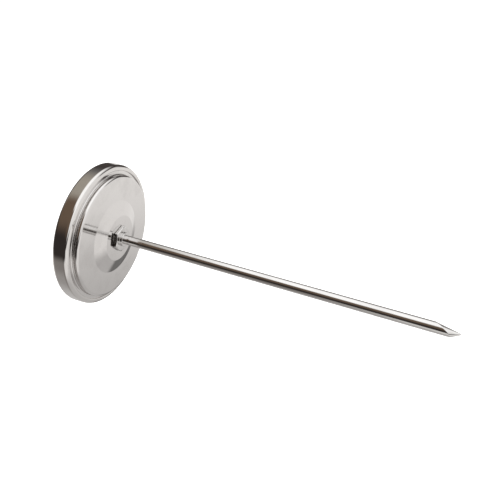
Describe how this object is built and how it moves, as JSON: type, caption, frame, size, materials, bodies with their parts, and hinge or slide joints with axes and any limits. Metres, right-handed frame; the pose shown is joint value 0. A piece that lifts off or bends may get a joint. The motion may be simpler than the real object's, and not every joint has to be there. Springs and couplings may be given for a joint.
{
  "type": "dial thermometer",
  "caption": "Bimetal dial thermometer with a long pointed stem, a hexagonal nut behind a shallow round metal case, and a crimped bezel over the dial.",
  "frame": {"origin": "on the stem's axis, at the shoulder where the bare stem leaves the nut", "axes": "+Y along the stem towards its point, +Z towards 12 o'clock on the dial, the dial faces -Y"},
  "size_m": [0.052, 0.1215, 0.052],
  "materials": {
    "stem_steel": "bright drawn stainless tube with fine lengthwise lines",
    "nut_steel": "turned stainless, satin end face",
    "case_steel": "polished stainless sheet",
    "bezel_steel": "polished stainless sheet",
    "spring_steel": "satin",
    "shaft_steel": "drawn wire",
    "brass": "turned",
    "bimetal": "rolled strip",
    "seal_rubber": "matt",
    "spacer_plastic": "moulded",
    "dial_white": "smooth white enamel with printed scale",
    "lens_glass": "clear",
    "pointer_red": "satin lacquer",
    "cap_black": "moulded"
  },
  "bodies": {
    "probe": {"stem_tube": "stem_steel", "hex_nut": "nut_steel", "seal_washer": "seal_rubber", "spring_washer": "spring_steel", "lock_nut": "brass", "upper_guide": "brass", "lower_guide": "brass", "anchor_plug": "brass", "bimetal_coil": "bimetal"},
    "head": {"back_case": "case_steel", "bezel_ring": "bezel_steel", "dial_plate": "dial_white", "spacer_ring": "spacer_plastic", "lens": "lens_glass", "lens_gasket": "seal_rubber"},
    "pointer": {"pointer_shaft": "shaft_steel", "coil_clip": "brass", "pointer_hub": "brass", "pointer": "pointer_red", "pointer_cap": "cap_black"}
  },
  "joints": [
    {"name": "calibration", "type": "hinge", "parent": "probe", "child": "head", "pos_m": [0, -0.0026, 0], "axis": [0, 1, 0], "continuous": true},
    {"name": "pointer_sweep", "type": "hinge", "parent": "probe", "child": "pointer", "pos_m": [0, -0.008, 0], "axis": [0, 1, 0], "range_deg": [-45, 225], "stiffness_Nm_per_rad": 0.0005}
  ]
}
